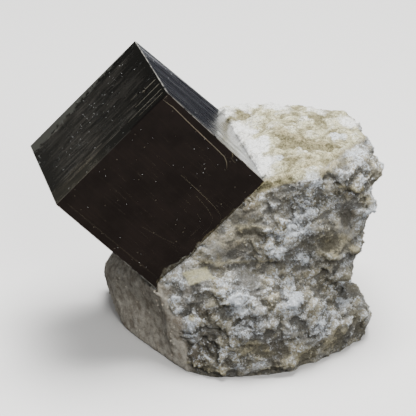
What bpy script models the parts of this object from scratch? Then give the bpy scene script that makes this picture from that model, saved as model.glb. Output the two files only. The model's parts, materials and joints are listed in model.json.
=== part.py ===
"""Pyrite cube grown in a broken piece of pale marl.

Sizes are in millimetres and become metres when a mesh is made.  Z is up, the stone rests
on Z = 0 and its front looks towards -Y.  The stone is a union of a few named broken
blocks, roughened, cut flat underneath and hollowed where the crystal sits.
"""
import math

import bmesh
import bpy
from mathutils import Matrix, Vector, noise

MM = 0.001

# Crystal: its top front corner, the three edges that leave it and their lengths.
CUBE_CORNER = Vector((-5.14, -9.50, 40.00))
CUBE_AXES = (
    Vector((0.661, 0.139, -0.737)),
    Vector((-0.708, -0.212, -0.674)),
    Vector((-0.250, 0.967, -0.042)),
)
CUBE_EDGES = (19.50, 20.78, 19.74)
CUBE_SWELL = 1.0

# Growth steps: low plates on the crystal's faces, each from one corner to the other,
# measured from the top front corner along the three edges.
GROWTH_STEPS = {
    "front strip": ((0.0, 0.0, -0.14), (11.4, 1.05, 0.5)),
    "left wide": ((-0.10, 0.0, 0.0), (0.5, 5.4, 4.1)),
    "left narrow": ((-0.20, 0.0, 0.0), (0.5, 6.7, 2.2)),
    "left sliver": ((-0.06, 0.0, 0.0), (0.5, 3.6, 6.0)),
    "small crystal": ((-0.45, 2.2, 6.6), (0.5, 3.1, 7.6)),
}

# Stone: gap round the crystal, voxel of the union, triangles kept, depth cut off below.
SEAT_GAP = 0.3
VOXEL = 0.62
STONE_TRIANGLES = 9600
CUTTER_REACH = 60.0

PYRITE = (0.17, 0.14, 0.09, 1.0)
MARL = (0.62, 0.59, 0.50, 1.0)

# The broken blocks of the stone, each the convex hull of its corners.
BLOCKS = {
    "foot": (
        (-2.5, -14.0, -2), (4.5, -15.0, -2), (11.5, -13.2, -2), (17.8, -8.6, -2), (20.6, -5.2, -2),
        (20.5, 3, -2), (18.5, 10, -2), (11, 14, -2), (-1, 14.6, -2), (-10, 13.5, -2),
        (-14.2, 9.5, -2), (-12.2, 1.5, -2), (-11.2, -3.2, -2), (-6.4, -9.6, -2),
        (3, -15.6, 4), (12, -13.8, 4.5), (-3.6, -13.4, 6), (23.2, -5, 4.6), (22.0, -2, 5.2),
        (19.5, -8.6, 5.6), (19.0, 5, 6), (13, 14.5, 8), (0, 15.2, 9), (-10, 14, 8),
        (-15.2, 8, 4.2), (-15.0, 3.0, 6.5), (-13.3, -0.6, 8.3),
    ),
    "bulge": (
        (-6.4, -12.2, 10.5), (-1, -13.4, 12.6), (5.5, -13.8, 12.2), (11.5, -12.8, 11.2),
        (15.5, -10.5, 9.5), (18.0, -7.5, 8.0), (-3.6, -14.0, 6.5), (5, -15.4, 6),
        (12.5, -14.2, 6), (-5.5, -11.6, 3), (17.5, -9.6, 5), (0, -6, 14), (12, -5, 12),
        (8, 2, 3), (-6, 0, 4), (-2, -11.6, 14.8), (5, -11.4, 15.0), (17.6, -6.2, 10.0),
        (17.8, -2, 9.0), (14, 4, 9),
    ),
    "trunk": (
        (0.5, -10.8, 15.2), (1.4, -9.8, 19.0), (5.4, -8.8, 22.6), (9.4, -10.0, 20.5), (16.5, -8.6, 21.0),
        (20.8, -5.5, 21.0), (22.2, -3.5, 17.8), (21.0, -4, 14.6), (19.6, -4, 10.8),
        (17.0, -8.2, 11.5), (10, -9.8, 12.5), (18.6, 7, 8), (21.4, 7, 21), (12, 14.6, 6),
        (13, 15.5, 22), (1, 15.0, 8), (1, 15, 22), (-2, 4, 10), (5, -9.9, 10),
    ),
    "shelf": (
        (7.0, -7.8, 24.7), (9.8, -8.5, 26.0), (13.4, -8.0, 26.9), (17.6, -6.8, 27.3),
        (20.8, -4.8, 27.2), (22.6, 1.5, 26.5), (21.7, 8, 26.1), (20.0, 14.9, 26.0),
        (13.5, 16.0, 26.4), (6.0, 16.0, 26.9), (1.0, 14.0, 27.0), (-1, 9, 24), (1, 14, 18),
        (20, 13, 18), (22.0, 3, 21), (21.2, -4, 22), (14, -8.0, 22.6), (8, -8.6, 22.6),
        (6.0, -7.8, 22.8),
    ),
    "cradle": (
        (-7.0, -12.0, 12.0), (-4.2, -11.5, 14.8), (-0.6, -10.6, 17.8), (-8.6, -8.4, 9.6),
        (-14.4, 1.0, 7.9), (-14.8, 6.0, 5.0), (-10.8, 12.5, 9.8), (-4, 14.5, 17),
        (3, 15, 21), (3, 4, 16), (-7, -8, 4), (-12.6, 0, 4), (-12, 11, 3), (4, 12, 6),
        (2, -9, 6),
    ),
    "high tooth": (
        (24.4, -1.2, 24.2), (23.7, 0.8, 24.6), (22.8, -3.4, 26.0), (22.9, 1.8, 25.8),
        (22.0, -3.0, 22.8), (19.5, -3, 24), (19.5, 3, 24), (21.8, 2.4, 22.6),
    ),
    "middle tooth": (
        (23.4, -4.6, 20.4), (23.2, -3.4, 21.4), (22.3, -6.2, 20.4), (22.4, -3.2, 18.8),
        (19, -5, 21.8), (18.6, -5, 18.6), (19, 1, 20),
    ),
    "low tooth": (
        (22.0, -4.8, 15.4), (21.8, -3.0, 14.6), (20.4, -6.8, 14.6), (20.4, -4.4, 12.6),
        (17.5, -6, 16.4), (17, -5.5, 12), (17, 0, 14),
    ),
    "chin": (
        (20.7, -4.8, 10.3), (19.2, -7.2, 10.8), (17.0, -9.2, 11.4), (19.8, -3.0, 9.9),
        (17.5, -5.0, 9.2), (19.8, -3, 12), (16, -6, 14), (15, -3, 10),
    ),
    "chip": (
        (-2.9, -12.5, 13.9), (-1.4, -11.3, 15.1), (1.0, -11.5, 14.9), (0.0, -13.3, 13.3),
        (-1.8, -13.7, 12.9), (-1.0, -10.0, 11.5), (-2.2, -10.0, 12.5), (0.5, -10.5, 12.0),
    ),
}
CHIP_MIDDLE = Vector((-1.0, -12.5, 14.0))
CHIP_REACH = 1.7

# Lumps (height above 0) and hollows (below 0): centre, reach, height.
LUMPS = {
    "bulge crown": ((6.0, -13.5, 11.5), 4.5, 0.9),
    "bulge left": ((-2.5, -12.5, 12.5), 3.0, 0.7),
    "bulge right": ((13.0, -12.0, 9.5), 3.0, 0.5),
    "rim left": ((0.0, -15.0, 1.5), 3.2, 0.7),
    "rim right": ((9.0, -14.5, 1.5), 3.0, 0.6),
    "middle knob": ((9.5, -10.0, 17.0), 2.6, 0.8),
    "hollow by the crystal": ((5.0, -9.2, 20.4), 2.6, -0.7),
    "under the shelf": ((17.5, -7.8, 22.8), 2.6, -1.0),
    "right recess": ((20.3, -5.0, 18.6), 2.2, -1.4),
    "right pit": ((17.0, -7.6, 10.2), 1.8, -0.7),
    "saddle": ((13.5, -10.8, 12.6), 2.6, -0.8),
    "lower hollow": ((-0.5, -14.0, 4.2), 3.4, -1.0),
    "crack": ((2.5, -10.8, 14.9), 2.6, -0.9),
    "crack right": ((8.0, -10.4, 14.6), 2.4, -0.8),
    "shelf hollow": ((11.4, 1.8, 27.2), 2.8, -0.75),
    "shelf hollow right": ((15.0, -0.2, 27.2), 2.0, -0.55),
    "shelf swell": ((13.5, -4.0, 27.0), 2.6, 0.35),
    "shelf dip by the crystal": ((4.6, 10.4, 26.9), 1.8, -0.5),
    "shelf pit": ((17.3, 4.4, 26.9), 1.0, -0.6),
    "shelf back rim": ((8.5, 14.5, 26.9), 3.0, 0.3),
}
LUMP_FALL = 2.2
LUMP_END = 1.6

# Roughness of the broken front: size of the lumps and their height.
COBBLES = ((4.4, 1.35), (2.0, 0.75))
COBBLE_MIDDLE = 0.55
COBBLE_START = Vector((3.1, 7.7, 1.3))
LEDGE_TILT = Vector((-0.16, 0.10, 0.98))
LEDGE_SPACING = 2.6
LEDGE_DEPTH = 0.40
LEDGE_WAVE = (5.0, 0.45)

# Smooth areas: how far a surface must turn towards them and where they begin, and the
# share of the roughness that is left there.
SHELF_TURN = (0.55, 0.85)
SHELF_FROM_Z = (23.0, 24.5)
SHELF_SHARE = 0.35
FLANK_FACING = Vector((-0.84, -0.50, -0.20))
FLANK_TURN = (0.60, 0.85)
FLANK_FROM_X = (-1.0, -4.0)
FLANK_SHARE = 0.15


def clear_scene():
    for thing in list(bpy.data.objects):
        bpy.data.objects.remove(thing)


def link(name, mesh):
    thing = bpy.data.objects.new(name, mesh)
    bpy.context.collection.objects.link(thing)
    return thing


def hull_into(bm, points):
    """Add the convex hull of the points to bm as a closed shell."""
    hull = bmesh.new()
    for point in points:
        hull.verts.new(Vector(point) * MM)
    result = bmesh.ops.convex_hull(hull, input=hull.verts)
    inside = [v for v in result["geom_interior"] if isinstance(v, bmesh.types.BMVert)]
    bmesh.ops.delete(hull, geom=inside, context="VERTS")
    bmesh.ops.recalc_face_normals(hull, faces=hull.faces)
    mesh = bpy.data.meshes.new("hull")
    hull.to_mesh(mesh)
    hull.free()
    bm.from_mesh(mesh)
    bpy.data.meshes.remove(mesh)


def hull_object(name, *hulls):
    bm = bmesh.new()
    for points in hulls:
        hull_into(bm, points)
    mesh = bpy.data.meshes.new(name)
    bm.to_mesh(mesh)
    bm.free()
    return link(name, mesh)


def box_corners(low, high):
    sides = list(zip(low, high))
    return [Vector((u, v, w)) for u in sides[0] for v in sides[1] for w in sides[2]]


def cube_corners(gap):
    """The crystal along its own edges: its far right corner stands a little proud."""
    corners = box_corners((-gap, -gap, -gap), [edge + gap for edge in CUBE_EDGES])
    proud = Vector((CUBE_EDGES[0] + gap, -gap, CUBE_EDGES[2] + gap))
    for corner in corners:
        if corner == proud:
            corner.y -= CUBE_SWELL
    return corners


def stand(thing):
    """Turn a mesh drawn along the crystal's edges into its place on the stone."""
    turn = Matrix(CUBE_AXES).transposed().to_4x4()
    thing.data.transform(Matrix.Translation(CUBE_CORNER * MM) @ turn)


def settle(thing):
    """Turn the modifiers of thing into its mesh."""
    graph = bpy.context.evaluated_depsgraph_get()
    mesh = bpy.data.meshes.new_from_object(thing.evaluated_get(graph))
    thing.modifiers.clear()
    thing.data = mesh


def boolean(thing, other, operation):
    step = thing.modifiers.new(operation.lower(), "BOOLEAN")
    step.operation = operation
    step.solver = "EXACT"
    step.object = other
    settle(thing)
    bpy.data.objects.remove(other)


def remesh(thing, voxel):
    step = thing.modifiers.new("voxels", "REMESH")
    step.mode = "VOXEL"
    step.voxel_size = voxel * MM
    settle(thing)


def decimate(thing, triangles):
    thing.data.calc_loop_triangles()
    step = thing.modifiers.new("fewer", "DECIMATE")
    step.ratio = triangles / len(thing.data.loop_triangles)
    settle(thing)


def smoothstep(low, high, value):
    t = min(max((value - low) / (high - low), 0.0), 1.0)
    return t * t * (3 - 2 * t)


def roughness(point, normal):
    """How rough the break is here: 1 on the front, less on the shelf, flank and chip."""
    shelf = smoothstep(*SHELF_TURN, normal.z) * smoothstep(*SHELF_FROM_Z, point.z)
    flank = smoothstep(*FLANK_TURN, normal.dot(FLANK_FACING)) * smoothstep(*FLANK_FROM_X, point.x)
    chip = smoothstep(CHIP_REACH, 0.6 * CHIP_REACH, (point - CHIP_MIDDLE).length)
    return 1.0 - max((1.0 - SHELF_SHARE) * shelf, (1.0 - FLANK_SHARE) * flank, chip)


def cobbles(point):
    """Rounded lumps with creases between them, largest first."""
    height = 0.0
    for size, rise in COBBLES:
        near = noise.voronoi(point / size + COBBLE_START)[0]
        height += rise * (COBBLE_MIDDLE - near[0])
    return height


def ledges(point):
    """Flaky steps along the bedding: each leaf juts out and breaks back below."""
    size, sway = LEDGE_WAVE
    level = point.dot(LEDGE_TILT) / LEDGE_SPACING + sway * noise.noise(point / size)
    step = level - math.floor(level)
    return LEDGE_DEPTH * (step - 0.5)


def marks(point):
    """The named lumps and hollows, each a soft bell."""
    height = 0.0
    for centre, reach, rise in LUMPS.values():
        away = (point - Vector(centre)).length / reach
        if away < LUMP_END:
            height += rise * math.exp(-LUMP_FALL * away * away)
    return height


def roughen(thing):
    """Push the surface out and in along its normals."""
    moves = []
    for vertex in thing.data.vertices:
        point = vertex.co / MM
        normal = vertex.normal
        share = roughness(point, normal)
        height = marks(point) + share * (cobbles(point) + ledges(point))
        moves.append(vertex.co + normal * height * MM)
    for vertex, place in zip(thing.data.vertices, moves):
        vertex.co = place


def make_crystal():
    body = hull_object("pyrite_cube", cube_corners(0.0))
    for name, (low, high) in GROWTH_STEPS.items():
        boolean(body, hull_object(name, box_corners(low, high)), "UNION")
    stand(body)
    return body


def make_stone():
    stone = hull_object("matrix_stone", *BLOCKS.values())
    remesh(stone, VOXEL)
    roughen(stone)
    remesh(stone, VOXEL)
    decimate(stone, STONE_TRIANGLES)
    reach = CUTTER_REACH
    ground = [(x, y, z) for x in (-reach, reach) for y in (-reach, reach) for z in (-reach, 0.0)]
    boolean(stone, hull_object("ground", ground), "DIFFERENCE")
    seat = hull_object("seat", cube_corners(SEAT_GAP))
    stand(seat)
    boolean(stone, seat, "DIFFERENCE")
    return stone


def dress(thing, colour, metallic, roughness):
    """Give the solid its own plain material."""
    paint = bpy.data.materials.new(thing.name)
    paint.use_nodes = True
    shader = paint.node_tree.nodes["Principled BSDF"]
    shader.inputs["Base Color"].default_value = colour
    shader.inputs["Metallic"].default_value = metallic
    shader.inputs["Roughness"].default_value = roughness
    thing.data.materials.clear()
    thing.data.materials.append(paint)
    for face in thing.data.polygons:
        face.use_smooth = False


clear_scene()
dress(make_crystal(), PYRITE, 1.0, 0.22)
dress(make_stone(), MARL, 0.0, 0.9)
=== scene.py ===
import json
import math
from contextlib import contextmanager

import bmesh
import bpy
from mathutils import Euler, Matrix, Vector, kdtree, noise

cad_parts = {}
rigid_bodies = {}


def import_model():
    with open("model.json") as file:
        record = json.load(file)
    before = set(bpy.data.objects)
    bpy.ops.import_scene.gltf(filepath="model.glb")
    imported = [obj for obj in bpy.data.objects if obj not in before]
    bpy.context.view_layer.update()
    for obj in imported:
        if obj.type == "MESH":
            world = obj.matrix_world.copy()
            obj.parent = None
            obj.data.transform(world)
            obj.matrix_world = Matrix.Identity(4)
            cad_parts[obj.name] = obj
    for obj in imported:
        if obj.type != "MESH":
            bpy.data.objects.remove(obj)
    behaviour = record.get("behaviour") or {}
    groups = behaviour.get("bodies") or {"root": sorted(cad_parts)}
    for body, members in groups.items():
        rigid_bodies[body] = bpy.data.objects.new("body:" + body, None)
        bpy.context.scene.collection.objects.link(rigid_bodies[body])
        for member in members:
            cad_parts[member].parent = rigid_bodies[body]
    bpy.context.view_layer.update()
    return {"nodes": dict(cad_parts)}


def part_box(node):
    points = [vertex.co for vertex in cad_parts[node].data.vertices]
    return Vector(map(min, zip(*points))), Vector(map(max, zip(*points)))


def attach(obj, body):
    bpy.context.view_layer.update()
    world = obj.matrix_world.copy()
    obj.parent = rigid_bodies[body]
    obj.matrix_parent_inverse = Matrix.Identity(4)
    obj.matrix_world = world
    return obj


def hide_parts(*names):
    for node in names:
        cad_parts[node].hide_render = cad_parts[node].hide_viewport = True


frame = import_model()

# %% [markdown]
# # A pyrite cube standing in its piece of marl
# The specimen has two bodies of very different nature.  One is a single pyrite crystal: a
# metal-bright, knife-edged cube with faint growth lines.  The other is the clay-rich
# limestone it grew in: soft, chalky, broken by hand, with ledges where the beds gave way.
# The imported model already has both as solids in metres, with Z up and the stone resting on
# Z = 0.  This file keeps those forms and adds what the eye needs: a finer break, crumbs,
# mirror faces, striations, dust, and light.
#
# Lengths below are given in millimetres and turned into metres with MM; in_mm turns a corner
# back into millimetres for printing.

MM = 0.001


def in_mm(corner):
    return [round(x / MM, 1) for x in corner]


# %% [markdown]
# ## The camera
# A long lens from a hand's reach away keeps the crystal's edges nearly parallel, as in a
# close-up of a mineral.  It looks down at the specimen by 28 degrees, square to the stone's
# front.  The place is worked out from the crystal: its corners only fall right from here.

# %% Camera
CAMERA_PLACE = Vector((0.0, -244.8, 148.28)) * MM
CAMERA_DOWN = 28.0
FOCAL_IN_PIXELS = 2000.0
FRAME_PIXELS = 416.0
SENSOR = 36.0

lens = bpy.data.cameras.new("close-up lens")
lens.sensor_width = SENSOR
lens.lens = FOCAL_IN_PIXELS / FRAME_PIXELS * SENSOR
lens.clip_start = 0.01
camera = bpy.data.objects.new("camera", lens)
camera.location = CAMERA_PLACE
camera.rotation_euler = Euler((math.radians(90.0 - CAMERA_DOWN), 0.0, 0.0))
bpy.context.scene.collection.objects.link(camera)
bpy.context.scene.camera = camera
print("lens", round(lens.lens, 1), "mm, camera", round(camera.location.length, 3), "m from the origin")

# %% [markdown]
# ## Helpers for meshes
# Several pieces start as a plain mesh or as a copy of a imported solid.  A few small helpers
# cover that: they link a mesh as an object at the origin, open it for editing, turn live
# modifiers into mesh, and write a number for every vertex, which a material can read later.
# `put` sets several properties of anything at once.

# %% Mesh helpers
def link(name, mesh):
    thing = bpy.data.objects.new(name, mesh)
    bpy.context.scene.collection.objects.link(thing)
    return thing


@contextmanager
def opened(mesh):
    """The mesh open for editing; it is written back at the end."""
    bm = bmesh.new()
    bm.from_mesh(mesh)
    yield bm
    bm.to_mesh(mesh)
    bm.free()


def put(thing, **settings):
    """Set several properties at once."""
    for key, value in settings.items():
        setattr(thing, key, value)
    return thing


def evaluated(thing):
    """The mesh that thing's modifiers make; the modifiers are taken off."""
    graph = bpy.context.evaluated_depsgraph_get()
    mesh = bpy.data.meshes.new_from_object(thing.evaluated_get(graph))
    thing.modifiers.clear()
    return mesh


def rectangle(name, low, high):
    """A flat sheet at z = 0 between two corners, in metres."""
    (left, near), (right, far) = low, high
    mesh = bpy.data.meshes.new(name)
    corners = [(left, near, 0), (right, near, 0), (right, far, 0), (left, far, 0)]
    mesh.from_pydata(corners, [], [(0, 1, 2, 3)])
    return link(name, mesh)


def triangles(thing):
    return sum(len(face.vertices) - 2 for face in thing.data.polygons)


def paint_numbers(thing, name, values):
    """Store one number per vertex under a name that materials can read."""
    store = thing.data.attributes.new(name, "FLOAT", "POINT")
    store.data.foreach_set("value", values)


def smoothstep(low, high, value):
    t = min(max((value - low) / (high - low), 0.0), 1.0)
    return t * t * (3.0 - 2.0 * t)


# %% [markdown]
# ## Trees of nodes
# Several things on this specimen repeat: growth lines, striae, specks of dust, crumbs.  Each
# gets a Geometry Nodes tree, and the materials are trees too.  So we want to write nodes as
# briefly as sums.  A Wire wraps an output socket; adding or multiplying wires makes Math
# nodes in the tree the socket belongs to, and `add` makes any other node.

# %% Node helpers
class Wire:
    """An output socket to do sums with."""

    def __init__(self, socket):
        self.socket, self.tree = socket, socket.id_data

    def __add__(self, other):
        return maths("ADD", self, other)

    def __sub__(self, other):
        return maths("SUBTRACT", self, other)

    def __rsub__(self, other):
        return maths("SUBTRACT", other, self)

    def __mul__(self, other):
        return maths("MULTIPLY", self, other)

    def __truediv__(self, other):
        return maths("DIVIDE", self, other)

    def __lt__(self, other):
        return maths("LESS_THAN", self, other)

    def __gt__(self, other):
        return maths("GREATER_THAN", self, other)


def fill(made, inputs):
    """Give a node its inputs by name or number: wires are linked, plain values are set."""
    for key, value in inputs.items():
        if isinstance(value, Wire):
            value.tree.links.new(value.socket, made.inputs[key])
        else:
            made.inputs[key].default_value = value


def add(tree, kind, inputs, out=0, **settings):
    """Add a node with its settings and inputs; gives the wire of one of its outputs."""
    made = put(tree.nodes.new(kind), **settings)
    fill(made, inputs or {})
    return Wire(made.outputs[out])


def tree_of(*values):
    return next(value.tree for value in values if isinstance(value, Wire))


def maths(operation, *values):
    return add(tree_of(*values), "ShaderNodeMath", dict(enumerate(values)), operation=operation)


# %% [markdown]
# For geometry, one helper makes a tree with named inputs and another runs it on a source
# mesh: the inputs are set by the socket's identifier before anything is evaluated, and the
# result is kept as a plain mesh, because instances and live modifiers do not survive an
# export.

# %% Geometry Nodes helpers
SOCKET_KINDS = {"Geometry": "Geometry", "Seed": "Int", "Finish": "Material"}


def new_tree(name, *titles):
    """A geometry tree with the named inputs, numbers if nothing else; and its input wires."""
    tree = bpy.data.node_groups.new(name, "GeometryNodeTree")
    inputs = [(title, "INPUT") for title in ("Geometry", *titles)]
    for title, side in inputs + [("Geometry", "OUTPUT")]:
        kind = "NodeSocket" + SOCKET_KINDS.get(title, "Float")
        tree.interface.new_socket(title, in_out=side, socket_type=kind)
    return tree, {out.name: Wire(out) for out in tree.nodes.new("NodeGroupInput").outputs if out.name}


def finish_tree(geometry, material):
    """End a tree in Realize Instances and Set Material."""
    tree = geometry.tree
    whole = add(tree, "GeometryNodeRealizeInstances", {"Geometry": geometry})
    dressed = add(tree, "GeometryNodeSetMaterial", {"Geometry": whole, "Material": material})
    fill(tree.nodes.new("NodeGroupOutput"), {0: dressed})


def grow(name, source, tree, **values):
    """Run the tree on the source object and keep the result as a plain mesh object."""
    step = put(source.modifiers.new(tree.name, "NODES"), node_group=tree)
    for item in tree.interface.items_tree:
        if item.in_out == "INPUT" and item.name in values:
            step[item.identifier] = values[item.name]
    return link(name, evaluated(source))


# %% [markdown]
# ## The crystal's own axes
# Everything on the crystal follows its three edges: the growth steps, the striations, the
# streaks.  So we set up a second ruler, in millimetres along those edges from the top front
# corner: u runs down to the right, v down to the left and w away from us.

# %% Crystal axes
CUBE_CORNER = Vector((-5.14, -9.50, 40.00))
CUBE_AXES = (
    Vector((0.661, 0.139, -0.737)),
    Vector((-0.708, -0.212, -0.674)),
    Vector((-0.250, 0.967, -0.042)),
)
CUBE_EDGES = (19.50, 20.78, 19.74)
CUBE_SWELL = 1.0

to_world = Matrix.Translation(CUBE_CORNER) @ Matrix(CUBE_AXES).transposed().to_4x4()
to_crystal = to_world.inverted()
low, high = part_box("pyrite_cube")
middle = to_world @ Vector([edge / 2 for edge in CUBE_EDGES])
box_middle = [(a + b) / 2 for a, b in zip(low, high)]
print("crystal middle", in_mm(middle * MM), "mm; packed box middle", in_mm(box_middle), "mm")

# %% [markdown]
# ## The crystal
# A pyrite cube is not quite a cube.  Its faces carry low terraces where the last layers
# stopped growing, each a fraction of a millimetre high, with borders parallel to the edges.
# They could be painted as lines, but a real step throws a real glint.  So each terrace is a
# thin slab with sloping borders, joined to the body with an exact Boolean, in the crystal's
# own axes where all the slabs are square.  The body's edges get a very small bevel first,
# because a bevel that came later would stop at the thinnest slab.

# %% Crystal body
EDGE_BEVEL = 0.06


def box_corners(low, high):
    us, vs, ws = zip(low, high)
    return [Vector((u, v, w)) for u in us for v in vs for w in ws]


def hull(name, points):
    """A closed convex body through points given in millimetres."""
    mesh = bpy.data.meshes.new(name)
    with opened(mesh) as bm:
        for point in points:
            bm.verts.new(point * MM)
        result = bmesh.ops.convex_hull(bm, input=bm.verts)
        inside = [v for v in result["geom_interior"] if isinstance(v, bmesh.types.BMVert)]
        bmesh.ops.delete(bm, geom=inside, context="VERTS")
        bmesh.ops.recalc_face_normals(bm, faces=bm.faces)
    return link(name, mesh)


def cube_body():
    """The cube, with the far corner of its top right face swollen outwards."""
    corners = box_corners((0, 0, 0), CUBE_EDGES)
    for corner in corners:
        if corner.x > 1 and corner.y < 1 and corner.z > 1:
            corner.y -= CUBE_SWELL
    return hull("crystal", corners)


crystal = cube_body()
put(crystal.modifiers.new("worn edge", "BEVEL"), width=EDGE_BEVEL * MM, segments=2, limit_method="ANGLE",
    angle_limit=math.radians(40))
crystal.data = evaluated(crystal)
print("crystal body:", triangles(crystal), "triangles")

# %% [markdown]
# A terrace is given by its height and its outline on one face.  On the front, w is the height
# and the outline is in u and v; on the left face, u is the height and the outline is in v and
# w.  Two tiny late crystals sit on the left face as well.

# %% Terraces
SLOPE = 0.10
ROOT = 0.4
FRONT_TERRACES = {
    "strip": (0.05, ((0.0, 0.0), (12.6, 0.0), (13.4, 0.5), (12.7, 1.12), (5.4, 0.98), (2.0, 0.86),
                     (0.0, 1.05))),
}
LEFT_TERRACES = {
    "first": (0.18, ((0.0, 0.0), (6.9, 0.0), (6.9, 1.95), (0.0, 2.0))),
    "second": (0.12, ((0.0, 0.0), (5.2, 0.0), (5.0, 3.78), (0.0, 3.82))),
    "third": (0.07, ((0.0, 0.0), (3.6, 0.0), (3.2, 5.72), (0.0, 5.74))),
}
LATE_CRYSTALS = (((-0.26, 2.30, 5.55), (0.4, 2.85, 6.10)), ((-0.16, 3.25, 6.35), (0.4, 3.60, 6.75)))


def slab(name, height, outline, place):
    """A thin plate: the outline at its foot, pulled in by the slope at its top."""
    middle = Vector((sum(p[0] for p in outline), sum(p[1] for p in outline))) / len(outline)
    points = []
    for corner in outline:
        flat = Vector(corner)
        inner = flat - (flat - middle).normalized() * SLOPE
        points += [place(flat, ROOT), place(flat, 0.0), place(inner, -height)]
    return hull(name, points)


def on_front(flat, depth):
    return Vector((flat.x, flat.y, depth))


def on_left(flat, depth):
    return Vector((depth, flat.x, flat.y))


grown_on = [slab(name, *terrace, place)
            for terraces, place in ((FRONT_TERRACES, on_front), (LEFT_TERRACES, on_left))
            for name, terrace in terraces.items()]
grown_on += [hull("late crystal", box_corners(near, far)) for near, far in LATE_CRYSTALS]
for other in grown_on:
    put(crystal.modifiers.new("grown on", "BOOLEAN"), operation="UNION", solver="EXACT", object=other)
    crystal.data = evaluated(crystal)
    bpy.data.objects.remove(other)
print("crystal:", triangles(crystal), "triangles with", len(grown_on), "parts grown on")

# %% [markdown]
# ## Growth lines
# Where a layer stopped, its rim often piled up into a sharp little ridge that glints.  A
# ridge follows a path on a face, so it is drawn as a few points and swept: the tree turns
# the points into a curve, stands its normal off the face, and runs a flat kite along it.
# A "fade" number on each point lets the ends run out to nothing.
#
# Each face gets its own flat drawing board: x and y along two of the crystal's edges, z out
# of the face.  The matrix of a board puts the drawing on the crystal.  Striae and dust will
# lie on the boards too, so one helper grows something on a board and lays it on the crystal.

# %% Drawing boards and growth lines
LINE_FADE_IN = 0.35
TALL_LINE = 0.11
BOARDS = {"front": (1, 0, 2), "left": (2, 1, 0), "right": (0, 2, 1)}
GROWTH_LINES = {
    "front": (
        (0.15, 0.13, ((0.15, 0.16), (1.10, 0.16), (0.94, 1.96), (1.06, 5.5), (1.14, 9.8), (1.22, 12.3),
                      (1.6, 13.2), (2.3, 14.0))),
        (0.05, 0.04, ((0.55, 9.0), (0.62, 12.0), (0.9, 14.4))),
        (0.06, 0.045, ((6.9, 9.6), (6.95, 13.7), (7.07, 16.5), (7.44, 18.3), (8.33, 19.3))),
        (0.05, 0.03, ((7.6, 13.4), (7.9, 16.0), (8.4, 17.7), (9.6, 18.4), (11.2, 18.4))),
        (0.04, 0.02, ((9.3, 15.4), (9.7, 16.8), (10.8, 17.4), (12.6, 17.3))),
        (0.04, 0.02, ((19.7, 0.8), (19.6, 10.8), (19.5, 18.4))),
        (0.04, 0.02, ((15.6, 11.0), (15.0, 14.2), (14.4, 16.6))),
    ),
    "left": (
        (0.10, 0.20, ((2.03, 0.1), (2.02, 6.9))),
        (0.09, 0.14, ((3.84, 0.1), (3.80, 5.0))),
        (0.05, 0.06, ((4.4, 4.2), (5.2, 6.6))),
        (0.08, 0.09, ((5.75, 0.3), (5.74, 3.2))),
        (0.07, 0.06, ((6.62, 3.4), (6.60, 4.9))),
        (0.05, 0.22, ((0.95, 0.2), (1.0, 5.2))),
        (0.05, 0.04, ((2.4, 8.0), (2.5, 15.0))),
        (0.05, 0.04, ((3.5, 11.0), (3.6, 18.2))),
    ),
}
LATE_RIM = (0.07, 0.26, ((5.55, 2.3), (5.55, 2.85), (6.1, 2.85), (6.1, 2.3), (5.55, 2.3)))
LATE_SHINE = 0.8


def board(face):
    """The matrix from a face's drawing board to the crystal's ruler, both in millimetres."""
    across, along, out = (Vector([float(i == axis) for i in range(3)]) for axis in BOARDS[face])
    return Matrix((across, along, -out)).transposed().to_4x4()


def swell_right(thing):
    """The top right face bulges towards its far corner; lift what lies on its board."""
    for vertex in thing.data.vertices:
        share = min(vertex.co.x / CUBE_EDGES[0], vertex.co.y / CUBE_EDGES[2]) / MM
        vertex.co.z += CUBE_SWELL * max(0.0, min(share, 1.0)) * MM


def grow_on(face, name, source, tree, **values):
    """Grow something from a source on a face's board and lay it on the crystal."""
    grown = grow(name, source, tree, **values)
    bpy.data.objects.remove(source)
    if face == "right":
        swell_right(grown)
    grown.data.transform(board(face))
    return grown


def line_tree():
    tree, given = new_tree("growth line", "Width", "Height", "Finish")
    curve = add(tree, "GeometryNodeMeshToCurve", {0: given["Geometry"]})
    upright = add(tree, "GeometryNodeSetCurveNormal", {"Curve": curve}, mode="Z_UP")
    kite = {"Width": given["Width"], "Top Height": given["Height"], "Bottom Height": given["Height"]}
    kite = add(tree, "GeometryNodeCurvePrimitiveQuadrilateral", kite, mode="KITE")
    thin = add(tree, "GeometryNodeInputNamedAttribute", {"Name": "fade"})
    swept = {"Curve": upright, "Profile Curve": kite, "Scale": thin, "Fill Caps": True}
    finish_tree(add(tree, "GeometryNodeCurveToMesh", swept), given["Finish"])
    return tree


def with_faded_ends(points):
    """The points with one more near each end; fade is 0.1 at the ends and 1 between."""
    first, second, last, before = (Vector(points[i]) for i in (0, 1, -1, -2))
    start = first + (second - first).normalized() * LINE_FADE_IN
    end = last + (before - last).normalized() * LINE_FADE_IN
    path = [first, start] + [Vector(p) for p in points[1:-1]] + [end, last]
    return path, [0.1] + [1.0] * (len(path) - 2) + [0.1]


def growth_line(tree, face, width, height, points):
    path, fade = with_faded_ends(points)
    mesh = bpy.data.meshes.new("path")
    mesh.from_pydata([(p.x * MM, p.y * MM, 0) for p in path], [(i, i + 1) for i in range(len(path) - 1)], [])
    source = link("path", mesh)
    paint_numbers(source, "fade", fade)
    return grow_on(face, "growth line", source, tree, Width=width * MM, Height=height * MM)


sweep = line_tree()
ridges, lines_shine = [], []
for face, lines in GROWTH_LINES.items():
    ridges += [growth_line(sweep, face, *line) for line in lines]
    lines_shine += [min(1.0, line[1] / TALL_LINE) for line in lines]
ridges.append(growth_line(sweep, "left", *LATE_RIM))
lines_shine.append(LATE_SHINE)
print("growth lines:", len(ridges), "with", sum(triangles(r) for r in ridges), "triangles")

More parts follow.
